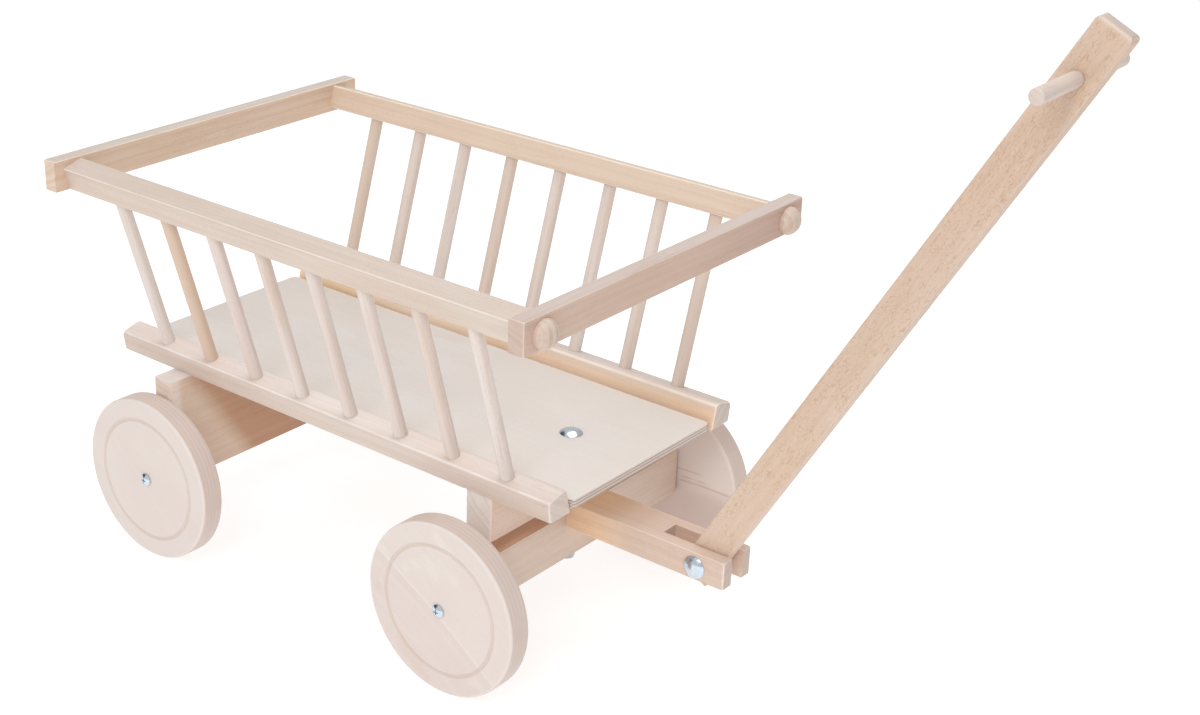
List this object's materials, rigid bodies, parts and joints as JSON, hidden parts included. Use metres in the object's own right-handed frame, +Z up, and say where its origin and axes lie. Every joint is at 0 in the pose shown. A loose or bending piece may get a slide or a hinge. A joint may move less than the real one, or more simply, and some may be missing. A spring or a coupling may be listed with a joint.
{
  "type": "wooden ladder wagon",
  "caption": "Small pulled wagon of pale beech with a plywood deck, leaning ladder sides, turned disc wheels and a bolted steering axle with a forked drawbar and pull handle.",
  "frame": {"origin": "middle of the outline on the floor, under the centre of the wagon's overall length and width", "axes": "+X forwards, towards the pull handle; +Y to the wagon's left; +Z up, with the wheels standing on Z = 0"},
  "size_m": [0.9166, 0.3848, 0.6248],
  "materials": {
    "beech_rail": "planed and sanded, untreated, eased edges",
    "beech_board": "planed and sanded, untreated, with fine ray flecks",
    "beech_dowel": "turned and sanded, untreated",
    "beech_plug": "turned domed plug, untreated",
    "birch_ply": "sanded plywood with bare layered edges",
    "ply_wheel": "turned plywood disc, sanded, untreated",
    "zinc_steel": "bright blue zinc plated",
    "nylon": "moulded ring of a self-locking nut"
  },
  "bodies": {
    "wagon_body": {"deck_board": "birch_ply", "lower_rail_left": "beech_rail", "lower_rail_right": "beech_rail", "upper_rail_left": "beech_rail", "upper_rail_right": "beech_rail", "spindles_left": "beech_dowel", "spindles_right": "beech_dowel", "cross_rail_front": "beech_rail", "cross_rail_back": "beech_rail", "rail_plugs_front": "beech_plug", "rail_plugs_back": "beech_plug", "rear_axle_board": "beech_board", "front_bolster": "beech_board", "king_bolt": "zinc_steel", "king_nut": "zinc_steel", "king_spring_washer": "zinc_steel", "king_washer": "zinc_steel", "king_spacer": "zinc_steel", "wheel_screws_rear": "zinc_steel", "hub_washers_rear": "zinc_steel"},
    "front_axle": {"steering_beam": "beech_board", "drawbar_tongue": "beech_board", "pivot_bolt": "zinc_steel", "pivot_nut": "zinc_steel", "pivot_nut_ring": "nylon", "pivot_washer": "zinc_steel", "wheel_screws_front": "zinc_steel", "hub_washers_front": "zinc_steel"},
    "pull_handle": {"handle_board": "beech_board", "handle_grip": "beech_dowel"},
    "rear_left_wheel": {"wheel_rear_left": "ply_wheel"},
    "rear_right_wheel": {"wheel_rear_right": "ply_wheel"},
    "front_left_wheel": {"wheel_front_left": "ply_wheel"},
    "front_right_wheel": {"wheel_front_right": "ply_wheel"}
  },
  "joints": [
    {"name": "steering", "type": "hinge", "parent": "wagon_body", "child": "front_axle", "pos_m": [0.01046, 0, 0.1], "axis": [0, 0, 1], "range_deg": [-35, 35]},
    {"name": "handle_lift", "type": "hinge", "parent": "front_axle", "child": "pull_handle", "pos_m": [0.15956, 0, 0.1119], "axis": [0, -1, 0], "range_deg": [-69.5, 29.5]},
    {"name": "rear_left_spin", "type": "hinge", "parent": "wagon_body", "child": "rear_left_wheel", "pos_m": [-0.34754, 0.1676, 0.079], "axis": [0, 1, 0], "continuous": true},
    {"name": "rear_right_spin", "type": "hinge", "parent": "wagon_body", "child": "rear_right_wheel", "pos_m": [-0.34754, -0.1676, 0.079], "axis": [0, 1, 0], "continuous": true},
    {"name": "front_left_spin", "type": "hinge", "parent": "front_axle", "child": "front_left_wheel", "pos_m": [0.01046, 0.1616, 0.079], "axis": [0, 1, 0], "continuous": true},
    {"name": "front_right_spin", "type": "hinge", "parent": "front_axle", "child": "front_right_wheel", "pos_m": [0.01046, -0.1616, 0.079], "axis": [0, 1, 0], "continuous": true}
  ]
}
